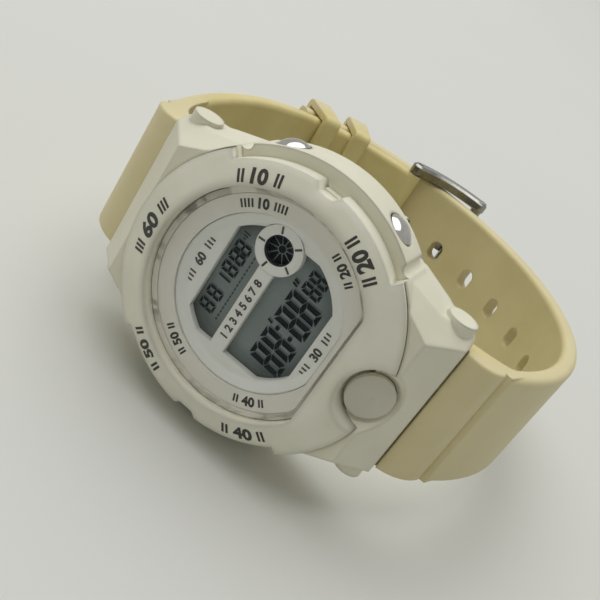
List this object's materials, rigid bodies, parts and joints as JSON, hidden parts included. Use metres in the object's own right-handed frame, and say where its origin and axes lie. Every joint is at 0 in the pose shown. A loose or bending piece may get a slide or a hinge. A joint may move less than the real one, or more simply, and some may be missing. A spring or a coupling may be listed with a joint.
{
  "type": "digital watch",
  "caption": "Resin digital sports watch with round case, hooded lugs, side pushers, front button and buckled strap, lying on its side.",
  "frame": {"origin": "middle of the footprint, on the surface that the watch lies on", "axes": "the watch lies on its 9 o'clock side: -Y is out of its face (tilted about 8 degrees up), -X is 12 o'clock, +X is 6 o'clock, +Z is 3 o'clock"},
  "size_m": [0.067, 0.0726, 0.0398],
  "materials": {
    "case_resin": "warm white moulded resin, satin",
    "bezel_resin": "warm white moulded resin, satin",
    "button_resin": "warm white moulded plastic, slightly glossy",
    "strap_resin": "cream polyurethane resin, fine grain",
    "crystal_glass": "clear mineral glass",
    "dial_plastic": "printed moulded plastic",
    "panel_plastic": "printed sheet plastic",
    "display_glass": "grey display glass with polarizer",
    "backlight_sheet": "pale coated sheet",
    "board_laminate": "green circuit laminate",
    "black_epoxy": "black moulded epoxy",
    "frame_plastic": "black moulded plastic",
    "seal_rubber": "black soft rubber",
    "brass_sheet": "plain thin brass",
    "plain_steel": "stainless steel, fine brushed",
    "pusher_chrome": "polished plated steel",
    "dark_steel": "polished stainless steel"
  },
  "bodies": {
    "watch": {"case": "case_resin", "bezel": "bezel_resin", "crystal": "crystal_glass", "crystal_gasket": "seal_rubber", "dial_ring": "dial_plastic", "dial_panel": "panel_plastic", "small_dial_ring": "dial_plastic", "display_glass": "display_glass", "backlight_panel": "backlight_sheet", "connector_strips": "seal_rubber", "circuit_board": "board_laminate", "chip": "black_epoxy", "quartz_can": "plain_steel", "battery": "plain_steel", "battery_clip": "plain_steel", "module_frame": "frame_plastic", "buzzer_disc": "brass_sheet", "buzzer_spring": "plain_steel", "case_back": "plain_steel", "case_back_gasket": "seal_rubber", "case_back_screws": "plain_steel", "light_button_spring": "plain_steel", "strap_buckle_half": "strap_resin", "strap_hole_half": "strap_resin", "lug_bar_12": "plain_steel", "lug_bar_6": "plain_steel", "buckle_bar": "plain_steel", "buckle_frame": "dark_steel", "keeper_fixed": "strap_resin", "pusher_spring_2": "plain_steel", "pusher_spring_4": "plain_steel", "pusher_spring_8": "plain_steel", "pusher_spring_10": "plain_steel"},
    "keeper_free": {"keeper_free": "strap_resin"},
    "buckle_tongue": {"buckle_tongue": "dark_steel"},
    "light_button": {"light_button": "button_resin", "light_button_ring": "seal_rubber", "light_button_clip": "plain_steel"},
    "pusher_2": {"pusher_2": "pusher_chrome", "pusher_ring_2": "seal_rubber", "pusher_clip_2": "plain_steel"},
    "pusher_4": {"pusher_4": "pusher_chrome", "pusher_ring_4": "seal_rubber", "pusher_clip_4": "plain_steel"},
    "pusher_8": {"pusher_8": "pusher_chrome", "pusher_ring_8": "seal_rubber", "pusher_clip_8": "plain_steel"},
    "pusher_10": {"pusher_10": "pusher_chrome", "pusher_ring_10": "seal_rubber", "pusher_clip_10": "plain_steel"}
  },
  "joints": [
    {"name": "pusher_2_press", "type": "slide", "parent": "watch", "child": "pusher_2", "axis": [0.4305, -0.1235, -0.8941], "range_m": [0, 0.0008], "stiffness_N_per_m": 1500, "springref_m": -0.0006, "deforming": ["pusher_spring_2"]},
    {"name": "pusher_4_press", "type": "slide", "parent": "watch", "child": "pusher_4", "axis": [-0.4305, -0.1235, -0.8941], "range_m": [0, 0.0008], "stiffness_N_per_m": 1500, "springref_m": -0.0006, "deforming": ["pusher_spring_4"]},
    {"name": "pusher_8_press", "type": "slide", "parent": "watch", "child": "pusher_8", "axis": [-0.4305, 0.1235, 0.8941], "range_m": [0, 0.0008], "stiffness_N_per_m": 1500, "springref_m": -0.0006, "deforming": ["pusher_spring_8"]},
    {"name": "pusher_10_press", "type": "slide", "parent": "watch", "child": "pusher_10", "axis": [0.4305, 0.1235, 0.8941], "range_m": [0, 0.0008], "stiffness_N_per_m": 1500, "springref_m": -0.0006, "deforming": ["pusher_spring_10"]},
    {"name": "light_button_press", "type": "slide", "parent": "watch", "child": "light_button", "axis": [-0.4695, 0.8746, -0.1209], "range_m": [0, 0.0006], "stiffness_N_per_m": 1500, "springref_m": -0.0006, "deforming": ["light_button_spring"]},
    {"name": "buckle_tongue_pivot", "type": "hinge", "parent": "watch", "child": "buckle_tongue", "pos_m": [-0.00687, 0.02817, 0.01237], "axis": [0, 0.1369, 0.9906], "range_deg": [0, 2.5]},
    {"name": "keeper_free_slide", "type": "hinge", "parent": "watch", "child": "keeper_free", "pos_m": [-0.00129, -0.00164, 0.01649], "axis": [0, 0.1369, 0.9906], "range_deg": [-0.5, 32]}
  ]
}
